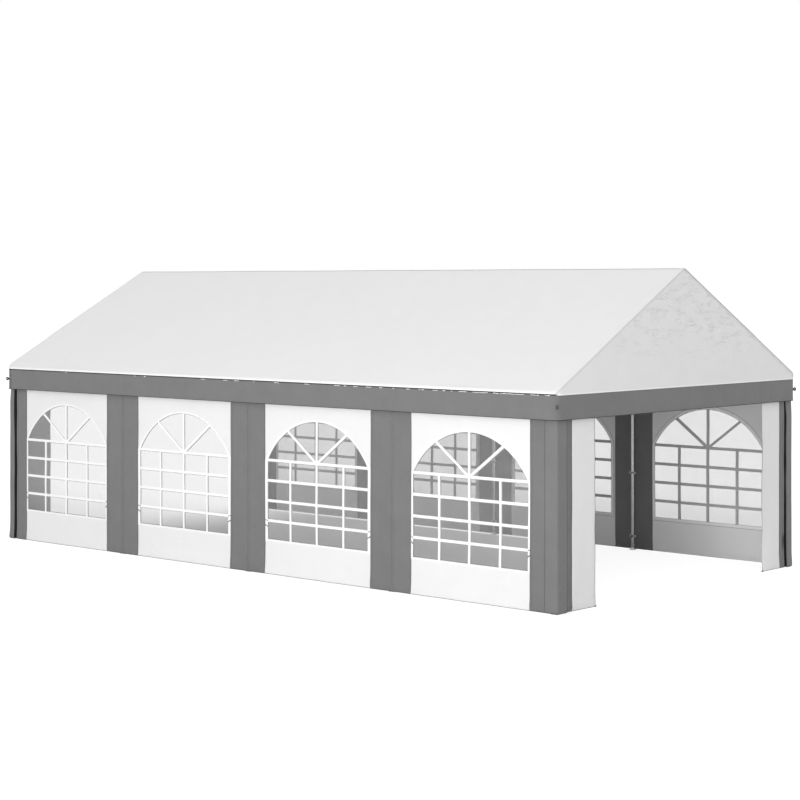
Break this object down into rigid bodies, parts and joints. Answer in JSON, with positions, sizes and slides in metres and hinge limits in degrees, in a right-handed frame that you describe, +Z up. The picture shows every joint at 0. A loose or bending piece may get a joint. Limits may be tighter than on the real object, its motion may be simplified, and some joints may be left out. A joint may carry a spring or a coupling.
{
  "type": "marquee tent",
  "caption": "Long marquee tent with a pitched white roof, grey valance, arched side windows and an open doorway in each end.",
  "frame": {"origin": "on the ground under the middle of the tent", "axes": "+X along the ridge to the right end, +Y across to the back wall, +Z up"},
  "size_m": [8.088, 4.088, 3.106],
  "materials": {
    "steel_tube": "satin galvanised steel tube, 38 mm",
    "roof_cloth": "white coated woven cloth, semi-matte",
    "valance_cloth": "mid grey coated woven cloth, semi-matte",
    "wall_cloth": "white coated woven cloth with grey bands, semi-matte",
    "curtain_cloth": "white coated woven cloth with a grey band, semi-matte",
    "clear_sheet": "clear soft sheet, glossy, slightly hazy"
  },
  "bodies": {
    "root": {"leg_front_1": "steel_tube", "rafter_front_1": "steel_tube", "leg_front_2": "steel_tube", "rafter_front_2": "steel_tube", "leg_front_3": "steel_tube", "rafter_front_3": "steel_tube", "leg_front_4": "steel_tube", "rafter_front_4": "steel_tube", "leg_front_5": "steel_tube", "rafter_front_5": "steel_tube", "eave_rail_front": "steel_tube", "roof_front": "roof_cloth", "valance_front": "valance_cloth", "wall_front_1": "wall_cloth", "window_front_1": "clear_sheet", "wall_front_2": "wall_cloth", "window_front_2": "clear_sheet", "wall_front_3": "wall_cloth", "window_front_3": "clear_sheet", "wall_front_4": "wall_cloth", "window_front_4": "clear_sheet", "leg_back_1": "steel_tube", "rafter_back_1": "steel_tube", "leg_back_2": "steel_tube", "rafter_back_2": "steel_tube", "leg_back_3": "steel_tube", "rafter_back_3": "steel_tube", "leg_back_4": "steel_tube", "rafter_back_4": "steel_tube", "leg_back_5": "steel_tube", "rafter_back_5": "steel_tube", "eave_rail_back": "steel_tube", "roof_back": "roof_cloth", "valance_back": "valance_cloth", "wall_back_1": "wall_cloth", "window_back_1": "clear_sheet", "wall_back_2": "wall_cloth", "window_back_2": "clear_sheet", "wall_back_3": "wall_cloth", "window_back_3": "clear_sheet", "wall_back_4": "wall_cloth", "window_back_4": "clear_sheet", "ridge_rail": "steel_tube", "tie_bar_left": "steel_tube", "gable_left": "roof_cloth", "valance_left": "valance_cloth", "curtain_left_front": "curtain_cloth", "curtain_left_back": "curtain_cloth", "tie_bar_right": "steel_tube", "gable_right": "roof_cloth", "valance_right": "valance_cloth", "curtain_right_front": "curtain_cloth", "curtain_right_back": "curtain_cloth"}
  },
  "joints": []
}
